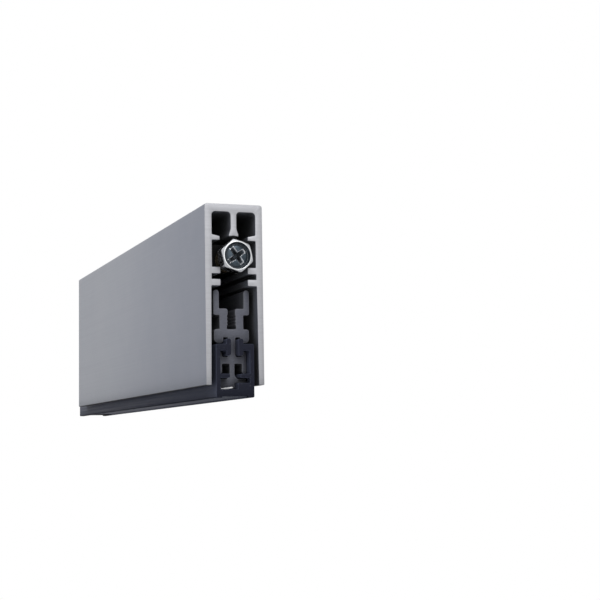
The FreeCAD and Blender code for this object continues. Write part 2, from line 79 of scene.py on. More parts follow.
class Recess(Enum):
    """What a screw's head takes to turn it."""

    CROSS = "cross"
    HEXAGON = "hexagon"


class Mixed(Enum):
    """What a mix node mixes: Blender's name for it, its first input and its output."""

    NUMBERS = ("FLOAT", 2, 0)
    COLOURS = ("RGBA", 6, 2)


class Graph:
    """A short hand for building a node tree."""

    def __init__(self, tree: bpy.types.NodeTree) -> None:
        """Keeps the tree and drops whatever it holds."""
        self.tree = tree
        tree.nodes.clear()

    def add(self, kind: str, **settings: object) -> bpy.types.Node:
        """Adds a node.

        Args:
            kind: the node's Blender type without the ShaderNode prefix.
            settings: attributes of the node, such as a group's tree, or values of its sockets,
                named with an underscore for each space.

        Returns:
            The new node.
        """
        prefix = "" if kind.startswith("Node") else "ShaderNode"
        node = self.tree.nodes.new(prefix + kind)
        for key, value in settings.items():
            if hasattr(node, key):
                setattr(node, key, value)
            else:
                node.inputs[key.replace("_", " ")].default_value = value
        return node

    def link(self, value: Input, target: Socket) -> None:
        """Feeds a socket.

        Args:
            value: another socket, a number or a colour.
            target: the socket that takes it.
        """
        if isinstance(value, Socket):
            self.tree.links.new(value, target)
        else:
            target.default_value = (*value, 1.0) if isinstance(value, tuple) else value

    def math(self, operation: str, first: Input, second: Input = 0.0) -> Socket:
        """Adds a math node.

        Args:
            operation: the math operation.
            first: a socket or a number.
            second: a socket or a number.

        Returns:
            The node's result.
        """
        node = self.add("Math", operation=operation)
        self.link(first, node.inputs[0])
        self.link(second, node.inputs[1])
        return node.outputs[0]

    def spread(self, value: Socket, low: float, high: float, to_low: float = 0.0,
               to_high: float = 1.0) -> Socket:
        """Stretches a value's range smoothly, with both ends clamped.

        Args:
            value: the value to stretch.
            low: the value that becomes to_low.
            high: the value that becomes to_high.
            to_low: the result at low.
            to_high: the result at high.

        Returns:
            The stretched value.
        """
        node = self.add("MapRange", interpolation_type="SMOOTHSTEP", From_Min=low, From_Max=high,
                        To_Min=to_low, To_Max=to_high)
        self.link(value, node.inputs["Value"])
        return node.outputs["Result"]

    def blend(self, factor: Socket, first: Input, second: Input, kind: Mixed = Mixed.COLOURS) -> Socket:
        """Mixes two colours or two numbers.

        Args:
            factor: how much of the second shows.
            first: what shows where the factor is 0.
            second: what shows where the factor is 1.
            kind: whether they are colours or numbers.

        Returns:
            The mixture.
        """
        data_type, start, result = kind.value
        node = self.add("Mix", data_type=data_type)
        self.link(factor, node.inputs["Factor"])
        self.link(first, node.inputs[start])
        self.link(second, node.inputs[start + 1])
        return node.outputs[result]


class Effects:
    """Shader node groups that several finishes share, each built at its first use and kept.

    The pairs are the ends between which a value is stretched to run from 0 to 1.
    """

    NUMBER = "NodeSocketFloat"
    VECTOR = "NodeSocketVector"
    NOISE = (0.3, 0.7)
    TURNED = (0.05, 1.0)
    SHUT_IN = (0.15, 0.85)
    LOOKS_ALONG = 0.95
    LOOKS_BAND = 0.1
    SPECK_LEVEL = 0.78
    SPECK_BAND = 0.04

    @staticmethod
    def group(name: str, inputs: dict[str, float],
              outputs: dict[str, str]) -> tuple[Graph, bpy.types.Node, bpy.types.Node]:
        """Starts a node group.

        Args:
            name: the group's name.
            inputs: each input's name and default value.
            outputs: each output's name and socket type.

        Returns:
            The group's graph, and its input and output nodes.
        """
        graph = Graph(bpy.data.node_groups.new(name, "ShaderNodeTree"))
        for key, value in inputs.items():
            socket = graph.tree.interface.new_socket(key, in_out="INPUT", socket_type=Effects.NUMBER)
            socket.default_value = value
        for key, kind in outputs.items():
            graph.tree.interface.new_socket(key, in_out="OUTPUT", socket_type=kind)
        return graph, graph.add("NodeGroupInput"), graph.add("NodeGroupOutput")

    @staticmethod
    @cache
    def edge_wear_and_glint() -> bpy.types.NodeTree:
        """Makes the group that finds edges, which are painted lighter for wear and as glints, and rounds
        their shading.

        Returns:
            A group with a Mask of the edges and a Normal that runs smoothly over them.
        """
        graph, start, end = Effects.group("edge wear and glint", {"Radius": 0.0001, "Gain": 3.0},
                                          {"Mask": Effects.NUMBER, "Normal": Effects.VECTOR})
        bevel = graph.add("Bevel", samples=4)
        graph.link(start.outputs["Radius"], bevel.inputs["Radius"])
        shape = graph.add("NewGeometry")
        dot = graph.add("VectorMath", operation="DOT_PRODUCT")
        graph.link(bevel.outputs["Normal"], dot.inputs[0])
        graph.link(shape.outputs["True Normal"], dot.inputs[1])
        turned = graph.math("SUBTRACT", 1.0, dot.outputs["Value"])
        gained = graph.math("MULTIPLY", turned, start.outputs["Gain"])
        graph.link(graph.spread(gained, *Effects.TURNED), end.inputs["Mask"])
        graph.link(bevel.outputs["Normal"], end.inputs["Normal"])
        return graph.tree

    @staticmethod
    @cache
    def drawn_grain() -> bpy.types.NodeTree:
        """Makes the group of fine lines that a die or a saw leaves.

        Returns:
            A group with a Value from 0 to 1 whose lines run along the axis of least scale.
        """
        graph, start, end = Effects.group(
            "drawn grain", {"Across X": 1000.0, "Along Y": 10.0, "Across Z": 1000.0, "Rough": 0.6},
            {"Value": Effects.NUMBER})
        place = graph.add("TexCoord")
        scale = graph.add("CombineXYZ")
        for index, key in enumerate(("Across X", "Along Y", "Across Z")):
            graph.link(start.outputs[key], scale.inputs[index])
        stretched = graph.add("VectorMath", operation="MULTIPLY")
        graph.link(place.outputs["Object"], stretched.inputs[0])
        graph.link(scale.outputs["Vector"], stretched.inputs[1])
        noise = graph.add("TexNoise", Scale=1.0, Detail=4.0)
        graph.link(start.outputs["Rough"], noise.inputs["Roughness"])
        graph.link(stretched.outputs["Vector"], noise.inputs["Vector"])
        graph.link(graph.spread(noise.outputs["Fac"], *Effects.NOISE), end.inputs["Value"])
        return graph.tree

    @staticmethod
    @cache
    def cut_face() -> bpy.types.NodeTree:
        """Makes the group that tells the sawn ends of an extrusion from its drawn sides.

        Returns:
            A group with a Mask of the faces that look along Y.
        """
        graph, start, end = Effects.group("cut face", {"Softness": 0.1}, {"Mask": Effects.NUMBER})
        place = graph.add("TexCoord")
        parts = graph.add("SeparateXYZ")
        graph.link(place.outputs["Normal"], parts.inputs["Vector"])
        size = graph.math("ABSOLUTE", parts.outputs["Y"])
        low = graph.math("SUBTRACT", Effects.LOOKS_ALONG, start.outputs["Softness"])
        offset = graph.math("SUBTRACT", size, low)
        graph.link(graph.spread(offset, 0.0, Effects.LOOKS_BAND), end.inputs["Mask"])
        return graph.tree

    @staticmethod
    @cache
    def hollow_shade() -> bpy.types.NodeTree:
        """Makes the group that finds the deep corners and chambers, which are painted dark as shade.

        Returns:
            A group with a Mask of what is shut in by its neighbours.
        """
        graph, start, end = Effects.group("hollow_shade", {"Reach": 0.004}, {"Mask": Effects.NUMBER})
        open_sky = graph.add("AmbientOcclusion", samples=6)
        graph.link(start.outputs["Reach"], open_sky.inputs["Distance"])
        shut = graph.math("SUBTRACT", 1.0, open_sky.outputs["AO"])
        graph.link(graph.spread(shut, *Effects.SHUT_IN), end.inputs["Mask"])
        return graph.tree

    @staticmethod
    @cache
    def dust() -> bpy.types.NodeTree:
        """Makes the group of specks and faint clouds of dust.

        Returns:
            A group with the Specks, and Clouds that vary slowly over the surface.
        """
        graph, start, end = Effects.group(
            "dust", {"Speck Scale": 2500.0, "Amount": 0.1, "Cloud Scale": 90.0},
            {"Specks": Effects.NUMBER, "Clouds": Effects.NUMBER})
        place = graph.add("TexCoord")
        noise = graph.add("TexNoise", Detail=3.0)
        clouds = graph.add("TexNoise", Detail=5.0)
        for node, key in ((noise, "Speck Scale"), (clouds, "Cloud Scale")):
            graph.link(place.outputs["Object"], node.inputs["Vector"])
            graph.link(start.outputs[key], node.inputs["Scale"])
        threshold = graph.math("SUBTRACT", Effects.SPECK_LEVEL, start.outputs["Amount"])
        over = graph.math("SUBTRACT", noise.outputs["Fac"], threshold)
        graph.link(graph.spread(over, 0.0, Effects.SPECK_BAND), end.inputs["Specks"])
        graph.link(graph.spread(clouds.outputs["Fac"], *Effects.NOISE), end.inputs["Clouds"])
        return graph.tree


DUST_COLOUR: Triple = (0.5, 0.5, 0.48)
# Painted shade in hollows: its colour as a share of the base colour, and its roughness there.
PAINTED_SHADE_TINT = 0.05
PAINTED_SHADE_ROUGHNESS = 0.95
BUMP_STRENGTH = 0.6


def even(number: float) -> Triple:
    """Gives a grey, or a scale that is the same along each axis."""
    return (number, number, number)


@dataclass(frozen=True)
class Finish:
    """A material: a drawn surface in two tones, sawn ends, edges painted lighter for wear and as glints,
    painted shade in hollows, and dust.

    Grain scales are lines per metre along X, Y and Z. What ends in "show" is the strength of
    an effect, from 0 to 1.
    """

    name: str
    base: Triple
    tone: Triple
    # The edges' colour: wear, and painted glints.
    worn_and_glint: Triple
    cut: Triple
    roughness: float
    cut_roughness: float
    grain: Triple
    cut_grain: Triple = even(1200.0)
    grain_depth: float = 0.000006
    grain_show: float = 0.7
    metallic: float = 1.0
    rough_spread: float = 0.08
    cut_show: float = 0.2
    edge_radius: float = 0.00008
    edge_show: float = 0.5
    edge_gain: float = 3.0
    dust_show: float = 0.05
    # How strongly hollows are painted dark as shade.
    painted_shade: float = 0.6
    reach: float = 0.004
    specular: float = 0.5

    @cache
    def build(self) -> bpy.types.Material:
        """Builds the material's nodes at its first use, and keeps it for the next.

        Returns:
            The material.
        """
        material = bpy.data.materials.new(self.name)
        material.use_nodes = True
        graph = Graph(material.node_tree)
        shader = graph.add("BsdfPrincipled", Metallic=self.metallic, Roughness=self.roughness)
        shader.inputs["Specular IOR Level"].default_value = self.specular
        output = graph.add("OutputMaterial")
        graph.link(shader.outputs["BSDF"], output.inputs["Surface"])

        side = self.lines(graph, self.grain)
        sawn = self.lines(graph, self.cut_grain)
        mask = graph.add("Group", node_tree=Effects.cut_face()).outputs["Mask"]
        wear_and_glint_node = graph.add("Group", node_tree=Effects.edge_wear_and_glint(), Radius=self.edge_radius, Gain=self.edge_gain)
        dust = graph.add("Group", node_tree=Effects.dust())
        shut = graph.add("Group", node_tree=Effects.hollow_shade(), Reach=self.reach)

        side_part = graph.math("MULTIPLY", side, self.grain_show)
        cloud_part = graph.math("MULTIPLY", dust.outputs["Clouds"], 1.0 - self.grain_show)
        drawn = graph.blend(graph.math("ADD", side_part, cloud_part), self.base, self.tone)
        cut_dark = tuple(channel * (1.0 - self.cut_show) for channel in self.cut)
        # Faces that look along Y take the cut colour; on the aluminium and the rubber the step between side
        # and cut colours is partly painted shade.
        colour = graph.blend(mask, drawn, graph.blend(sawn, cut_dark, self.cut))
        # Hollows are painted nearly black as shade, and made rough and less metallic there.
        painted_shade_mask = graph.math("MULTIPLY", shut.outputs["Mask"], self.painted_shade)
        colour = graph.blend(painted_shade_mask, colour, tuple(channel * PAINTED_SHADE_TINT for channel in self.base))
        # Edges are painted lighter, for wear and as painted glints.
        edge = graph.math("MULTIPLY", wear_and_glint_node.outputs["Mask"], self.edge_show)
        colour = graph.blend(edge, colour, self.worn_and_glint)
        specks = graph.math("MULTIPLY", dust.outputs["Specks"], self.dust_show)
        graph.link(graph.blend(specks, colour, DUST_COLOUR), shader.inputs["Base Color"])

        rough = graph.spread(side, 0.0, 1.0, self.roughness - self.rough_spread,
                             self.roughness + self.rough_spread)
        clean = graph.blend(mask, rough, self.cut_roughness, Mixed.NUMBERS)
        graph.link(graph.blend(painted_shade_mask, clean, PAINTED_SHADE_ROUGHNESS, Mixed.NUMBERS), shader.inputs["Roughness"])
        if self.metallic > 0.0:
            bare = graph.math("SUBTRACT", 1.0, painted_shade_mask)
            graph.link(graph.math("MULTIPLY", bare, self.metallic), shader.inputs["Metallic"])

        bump = graph.add("Bump", Strength=BUMP_STRENGTH, Distance=self.grain_depth)
        graph.link(graph.blend(mask, side, sawn, Mixed.NUMBERS), bump.inputs["Height"])
        graph.link(wear_and_glint_node.outputs["Normal"], bump.inputs["Normal"])
        graph.link(bump.outputs["Normal"], shader.inputs["Normal"])
        return material

    @staticmethod
    def lines(graph: Graph, scale: Triple) -> Socket:
        """Places the grain group with one finish's scales, and gives the grain's value."""
        x, y, z = scale
        grain = graph.add("Group", node_tree=Effects.drawn_grain(), Across_X=x, Along_Y=y, Across_Z=z)
        return grain.outputs["Value"]


# Its drawn sides' colours are painted darker than aluminium is, as shade, against lighter sawn ends.
MILL_ALUMINIUM = Finish(
    "mill_aluminium", base=(0.2, 0.215, 0.256), tone=(0.214, 0.226, 0.266), worn_and_glint=(0.42, 0.43, 0.46),
    cut=(0.36, 0.363, 0.385), metallic=0.75, roughness=0.42, rough_spread=0.012, cut_roughness=0.5,
    grain=(2600.0, 5.0, 2600.0), cut_grain=(60.0, 60.0, 5200.0), grain_depth=0.0000007, grain_show=0.2,
    cut_show=0.1, edge_radius=0.00012, edge_show=0.45, dust_show=0.08, painted_shade=1.0, reach=0.009)
# Its wide, strong edge colour is painted glint on the hooks and tips, besides wear.
RIGID_VINYL = Finish(
    "rigid_vinyl", base=(0.06, 0.063, 0.074), tone=(0.075, 0.079, 0.09), worn_and_glint=(0.21, 0.215, 0.24),
    cut=(0.092, 0.097, 0.122), metallic=0.0, roughness=0.42, rough_spread=0.06, cut_roughness=0.55,
    grain=(3000.0, 14.0, 3000.0), cut_grain=(900.0, 900.0, 3600.0), grain_depth=0.00001, grain_show=0.4,
    edge_radius=0.0004, edge_show=0.55, edge_gain=9.0, dust_show=0.1, painted_shade=0.8, specular=0.35)
# Its sawn end is painted nearly black, as shade.
SEAL_RUBBER = Finish(
    "seal_rubber", base=(0.053, 0.06, 0.093), tone=(0.06, 0.068, 0.104), worn_and_glint=(0.085, 0.092, 0.13),
    cut=(0.008, 0.0095, 0.02), metallic=0.0, roughness=0.6, cut_roughness=0.7,
    grain=(1500.0, 12.0, 1500.0), cut_grain=even(2600.0), grain_depth=0.000003, grain_show=0.3,
    edge_radius=0.00018, edge_show=0.3, dust_show=0.08, painted_shade=0.4, specular=0.16)
NYLON = Finish(
    "moulded_nylon", base=(0.008, 0.008, 0.0095), tone=(0.013, 0.013, 0.015), worn_and_glint=(0.04, 0.04, 0.042),
    cut=(0.009, 0.009, 0.01), metallic=0.0, roughness=0.45, rough_spread=0.06, cut_roughness=0.45,
    grain=even(4200.0), cut_grain=even(4200.0), grain_depth=0.00001, grain_show=0.5, edge_radius=0.00018,
    edge_show=0.15, dust_show=0.06, painted_shade=0.95, specular=0.07)
# Its light edge colour is painted glint on the screw's edges, besides wear.
ZINC_PLATE = Finish(
    "zinc_plate", base=(0.42, 0.43, 0.455), tone=(0.56, 0.57, 0.59), worn_and_glint=even(0.8),
    cut=(0.62, 0.63, 0.64), roughness=0.24, rough_spread=0.06, cut_roughness=0.2, grain=even(900.0),
    grain_show=0.6, edge_show=0.7, painted_shade=0.15)
# A dark copy of the zinc plate for the screw's dish and recess: painted shade, with lighter edges.
ZINC_PAINTED_SHADE = Finish(
    "zinc_with_painted_shade", base=(0.06, 0.075, 0.092), tone=(0.1, 0.118, 0.138), worn_and_glint=(0.6, 0.63, 0.67),
    cut=(0.05, 0.065, 0.08), roughness=0.28, cut_roughness=0.3, grain=even(1600.0), grain_show=0.6,
    cut_show=0.3, painted_shade=0.85, reach=0.0016)
# A near-white plastic for the strip on the foot's edge: a painted highlight for the glint there.
PAINTED_GLINT = Finish(
    "painted_glint_strip", base=(0.82, 0.83, 0.84), tone=even(0.9), worn_and_glint=even(0.95), cut=even(0.85),
    metallic=0.0, roughness=0.35, cut_roughness=0.4, grain=(1500.0, 300.0, 1500.0), grain_depth=0.00001,
    grain_show=0.5, cut_show=0.1, edge_show=0.3, painted_shade=0.0)
SHEET_STEEL = Finish(
    "zinc_sheet", base=(0.42, 0.43, 0.44), tone=(0.52, 0.52, 0.53), worn_and_glint=even(0.72),
    cut=(0.45, 0.45, 0.46), roughness=0.34, cut_roughness=0.4, grain=even(300.0), cut_grain=even(1500.0),
    grain_depth=0.000008, cut_show=0.25, edge_radius=0.0001, dust_show=0.1)
DRAWN_STEEL = Finish(
    "drawn_steel", base=(0.46, 0.46, 0.47), tone=(0.56, 0.56, 0.57), worn_and_glint=even(0.75),
    cut=(0.5, 0.5, 0.51), roughness=0.26, rough_spread=0.06, cut_roughness=0.35,
    grain=(5200.0, 40.0, 5200.0), cut_grain=even(2400.0), grain_depth=0.000005, dust_show=0.06)
SPRING_WIRE = Finish(
    "spring_wire", base=(0.3, 0.3, 0.31), tone=even(0.4), worn_and_glint=even(0.6), cut=even(0.4), roughness=0.3,
    cut_roughness=0.35, grain=even(2600.0), cut_grain=even(2600.0), grain_depth=0.000004,
    edge_radius=0.00005, edge_show=0.3)
# Its colours are painted far darker than brass, as shade.
TURNED_BRASS = Finish(
    "turned_brass", base=(0.11, 0.085, 0.045), tone=(0.15, 0.115, 0.062), worn_and_glint=(0.32, 0.26, 0.16),
    cut=(0.045, 0.036, 0.022), roughness=0.28, rough_spread=0.05, cut_roughness=0.3,
    grain=(400.0, 5200.0, 400.0), cut_grain=even(3000.0), cut_show=0.15, edge_radius=0.0001)


class Shop:
    """Turns meshes into dressed pieces that ride on the part's bodies."""

    WELD = 1e-7
    FLAT_ANGLE = 0.4
    SHARP_ANGLE = 32.0

    def piece(self, name: str, mesh: Mesh, body: str, slot: str, finish: Finish,
              nodes: tuple[str, ...] = (), sharp: float = SHARP_ANGLE) -> bpy.types.Object:
        """Makes an object of a mesh and puts it on its body.

        Args:
            name: the piece's name.
            mesh: its mesh, which is freed.
            body: the body that it rides on.
            slot: the record's material slot; not used.
            finish: its finish.
            nodes: the nodes that it stands for.
            sharp: the angle in degrees above which an edge stays crisp.

        Returns:
            The object.
        """
        piece = self.loose(name, mesh)
        data = piece.data
        data.polygons.foreach_set("use_smooth", [True] * len(data.polygons))
        data.set_sharp_from_angle(angle=math.radians(sharp))
        data.materials.append(finish.build())
        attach(piece, body)
        if nodes:
            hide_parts(*nodes)
        log.info("%s: %d faces on %s", name, len(data.polygons), body)
        return piece

    @staticmethod
    def loose(name: str, mesh: Mesh) -> bpy.types.Object:
        """Puts a mesh in an object of the scene, and frees it.

        Args:
            name: the object's name.
            mesh: its mesh.

        Returns:
            The object.
        """
        bmesh.ops.recalc_face_normals(mesh, faces=mesh.faces)
        data = bpy.data.meshes.new(name)
        mesh.to_mesh(data)
        mesh.free()
        holder = bpy.data.objects.new(name, data)
        bpy.context.scene.collection.objects.link(holder)
        return holder

    def carve(self, mesh: Mesh, tool: Mesh) -> Mesh:
        """Cuts one mesh with another, and frees both.

        Args:
            mesh: what is cut.
            tool: what cuts it.

        Returns:
            The cut mesh.
        """
        body = self.loose("carved", mesh)
        cutter = self.loose("cutter", tool)
        cut = body.modifiers.new("cut", "BOOLEAN")
        cut.operation = "DIFFERENCE"
        cut.solver = "EXACT"
        cut.use_self = True
        cut.object = cutter
        carved = bpy.data.meshes.new_from_object(body.evaluated_get(bpy.context.evaluated_depsgraph_get()))
        result = bmesh.new()
        result.from_mesh(carved)
        for data in (body.data, cutter.data, carved):
            bpy.data.meshes.remove(data)
        return result

    def broken_edges(self, node: str, body: str, slot: str, finish: Finish, width: float) -> bpy.types.Object:
        """Copies a node's form with its sharp edges broken, as a deburred piece has them.

        Args:
            node: the node.
            body: the body that it rides on.
            slot: the record's material slot.
            finish: its finish.
            width: how far the edge's rounding reaches.

        Returns:
            The piece that stands for the node.
        """
        mesh = bmesh.new()
        mesh.from_mesh(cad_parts[node].data)
        bmesh.ops.remove_doubles(mesh, verts=mesh.verts, dist=self.WELD)
        bmesh.ops.dissolve_limit(mesh, angle_limit=math.radians(self.FLAT_ANGLE), verts=mesh.verts,
                                 edges=mesh.edges)
        edges = [edge for edge in mesh.edges
                 if len(edge.link_faces) == 2 and edge.calc_face_angle(0.0) > math.radians(self.SHARP_ANGLE)]
        bmesh.ops.bevel(mesh, geom=edges, offset=width, offset_type="OFFSET", segments=2,
                        profile=0.5, affect="EDGES", clamp_overlap=False)
        bmesh.ops.triangulate(mesh, faces=[face for face in mesh.faces if len(face.verts) > 4])
        return self.piece(node + "_finished", mesh, body, slot, finish, (node,))

    def dress(self, node: str, finish: Finish) -> None:
        """Gives a node that keeps its own form its finish."""
        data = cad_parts[node].data
        data.materials.clear()
        data.materials.append(finish.build())
        log.info("%s dressed in %s", node, finish.name)


def centre_of(node: str) -> Vector:
    """Gives the middle of a node's box at rest."""
    low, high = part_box(node)
    return (low + high) / 2


def ring(mesh: Mesh, count: int, place: Callable[[float], Triple]) -> Ring:
    """Adds a ring of vertices, each at the place that its angle gives."""
    return [mesh.verts.new(place(math.tau * step / count)) for step in range(count)]


def skin(mesh: Mesh, rings: list[Ring]) -> None:
    """Joins rings with faces and closes both ends."""
    for first, second in zip(rings, rings[1:]):
        count = len(first)
        for step in range(count):
            after = (step + 1) % count
            mesh.faces.new((first[step], first[after], second[after], second[step]))
    mesh.faces.new(rings[0])
    mesh.faces.new(rings[-1])


@dataclass
class Case:
    """The extruded case with its fixed blocks and pins."""

    shop: Shop
    edge: float = 0.07 * MM

    def build(self) -> None:
        """Builds and dresses the case and what is fixed in it."""
        self.shop.broken_edges("case", "case", "case", MILL_ALUMINIUM, self.edge)
        for side in Side:
            self.shop.broken_edges("guide_block_" + side.value, "case", "block", NYLON, self.edge)
            self.shop.dress("block_pin_" + side.value, DRAWN_STEEL)


@dataclass
class Carrier:
    """The plastic carrier with a near-white strip on its foot as a painted highlight, its rubber seal and the
    saddles that hang it.

    The strip is a flattened rod with a slight ripple. Its tip and ripple are shares of its radius.
    """

    shop: Shop
    edge: float = 0.06 * MM
    bead_start: Vector = Vector((-3.1, -70.07, -42.87)) * MM
    bead_end: Vector = Vector((0.15, -70.07, -42.45)) * MM
    bead_radius: float = 0.2 * MM
    bead_flatness: float = 0.6
    bead_tip: float = 0.4
    bead_taper: float = 8.0
    bead_ripple: float = 0.08
    bead_waves: float = 17.0
    bead_steps: int = 20
    bead_sides: int = 10
    bead_sharp: float = 60.0

    def lay_painted_highlight(self) -> None:
        """Lays a near-white strip across the end of the foot, where it meets the sole: a painted highlight
        where the foot's edge glints.
        """
        mesh = bmesh.new()
        along = self.bead_end - self.bead_start
        rings = []
        for step in range(self.bead_steps + 1):
            share = step / self.bead_steps
            taper = min(1.0, self.bead_taper * min(share, 1.0 - share) + self.bead_tip)
            radius = self.bead_radius * taper * (1.0 + self.bead_ripple * math.sin(self.bead_waves * share))
            middle = self.bead_start + along * share
            rings.append(ring(mesh, self.bead_sides, lambda angle: (
                middle.x, middle.y + self.bead_flatness * radius * math.cos(angle),
                middle.z + radius * math.sin(angle))))
        skin(mesh, rings)
        self.shop.piece("foot_glint_strip", mesh, "carrier", "carrier", PAINTED_GLINT, sharp=self.bead_sharp)

    def build(self) -> None:
        """Builds and dresses everything that drops."""
        self.shop.broken_edges("carrier", "carrier", "carrier", RIGID_VINYL, self.edge)
        self.lay_painted_highlight()
        self.shop.broken_edges("seal", "carrier", "seal", SEAL_RUBBER, self.edge)
        for side in Side:
            self.shop.dress("saddle_" + side.value, SHEET_STEEL)
            self.shop.dress("saddle_pin_" + side.value, DRAWN_STEEL)


@dataclass
class PushRod:
    """The rod with its plunger, blocks and collar, and the links that it pushes."""

    shop: Shop
    edge: float = 0.08 * MM

    def build(self) -> None:
        """Builds and dresses the pieces that slide, and dresses the links."""
        self.shop.dress("push_rod", DRAWN_STEEL)
        self.shop.dress("spring_collar", DRAWN_STEEL)
        self.shop.broken_edges("plunger", "rod", "plunger", NYLON, self.edge)
        self.shop.dress("thread_insert", TURNED_BRASS)
        for side in Side:
            self.shop.broken_edges("slide_block_" + side.value, "rod", "block", NYLON, self.edge)
            self.shop.dress("slide_pin_" + side.value, DRAWN_STEEL)
            self.shop.dress("link_a_" + side.value, SHEET_STEEL)
            self.shop.dress("link_b_" + side.value, SHEET_STEEL)


@dataclass
class ReturnSpring:
    """The coil spring with closed ends, which shortens as the rod goes in on the real part; here it is built
    at its rest length only.
    """

    shop: Shop
    wire: float = 0.6 * MM
    turns: float = 7.5
    closed: float = 1.0
    steps: int = 36
    around: int = 12
    travel: float = 2.8817 * MM

    def build(self) -> None:
        """Builds the spring in place of its plain solid."""
        low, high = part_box("return_spring")
        axis = (low + high) / 2
        length = high.y - low.y
        radius = (high.x - low.x) / 2 - self.wire / 2
        mesh = bmesh.new()
        rings = []
        for index in range(int(self.turns * self.steps) + 1):
            turn = index / self.steps
            y = low.y + self.wire / 2 + self.advance(turn, length)
            out = Vector((math.cos(turn * math.tau), 0, math.sin(turn * math.tau)))
            rings.append(ring(mesh, self.around, lambda angle: (
                axis.x + out.x * (radius + self.wire / 2 * math.cos(angle)),
                y + self.wire / 2 * math.sin(angle),
                axis.z + out.z * (radius + self.wire / 2 * math.cos(angle)))))
        skin(mesh, rings)
        spring = self.shop.piece("return_spring_coil", mesh, "rod", "spring", SPRING_WIRE, ("return_spring",))
        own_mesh(spring)

    def advance(self, turn: float, length: float) -> float:
        """How far along its axis the wire has come.

        Args:
            turn: turns from the first end.
            length: the spring's free length.

        Returns:
            The distance of the wire's centre from the first coil's centre.
        """
        open_turns = self.turns - 2 * self.closed
        end_rise = self.closed * self.wire
        pitch = (length - self.wire - 2 * end_rise) / open_turns
        if turn < self.closed:
            return turn * self.wire
        if turn > self.turns - self.closed:
            return length - self.wire - (self.turns - turn) * self.wire
        return end_rise + (turn - self.closed) * pitch


@dataclass(frozen=True)
class Thread:
    """A helical thread, which fades at both ends.

    The lengths of its fading ends are in turns, and its depths there are shares of the full depth.
    """

    pitch: float
    depth: float
    rows: int
    around: int
    run_in: float
    run_out: float
    start_depth: float
    end_depth: float
    flank: float = 2.6

    def rings(self, mesh: Mesh, length: float, radius: float, tip: float, tip_length: float,
              place: Callable[[float, float, float], Triple]) -> list[Ring]:
        """Adds the rings of a threaded shank.

        Args:
            mesh: the screw's mesh.
            length: the shank's length.
            radius: the thread's outer radius.
            tip: how much the radius narrows at the tip.
            tip_length: the length in which it narrows.
            place: gives a vertex's place by its radius, its angle and how far along it lies.

        Returns:
            The rings, from the head to the tip.
        """
        count = int(length / self.pitch * self.rows)
        rings = []
        for row in range(count + 1):
            along = length * row / count
            left = length - along
            fade = min(1.0, along / (self.run_in * self.pitch) + self.start_depth,
                       left / (self.run_out * self.pitch) + self.end_depth)
            outer = radius - tip * max(0.0, 1.0 - left / tip_length)
            verts = []
            for step in range(self.around):
                share = step / self.around
                phase = (along / self.pitch - share) % 1.0
                cut = 1.0 - min(1.0, abs(phase - 0.5) * self.flank)
                verts.append(mesh.verts.new(place(outer - self.depth * fade * cut, math.tau * share, along)))
            rings.append(verts)
        return rings


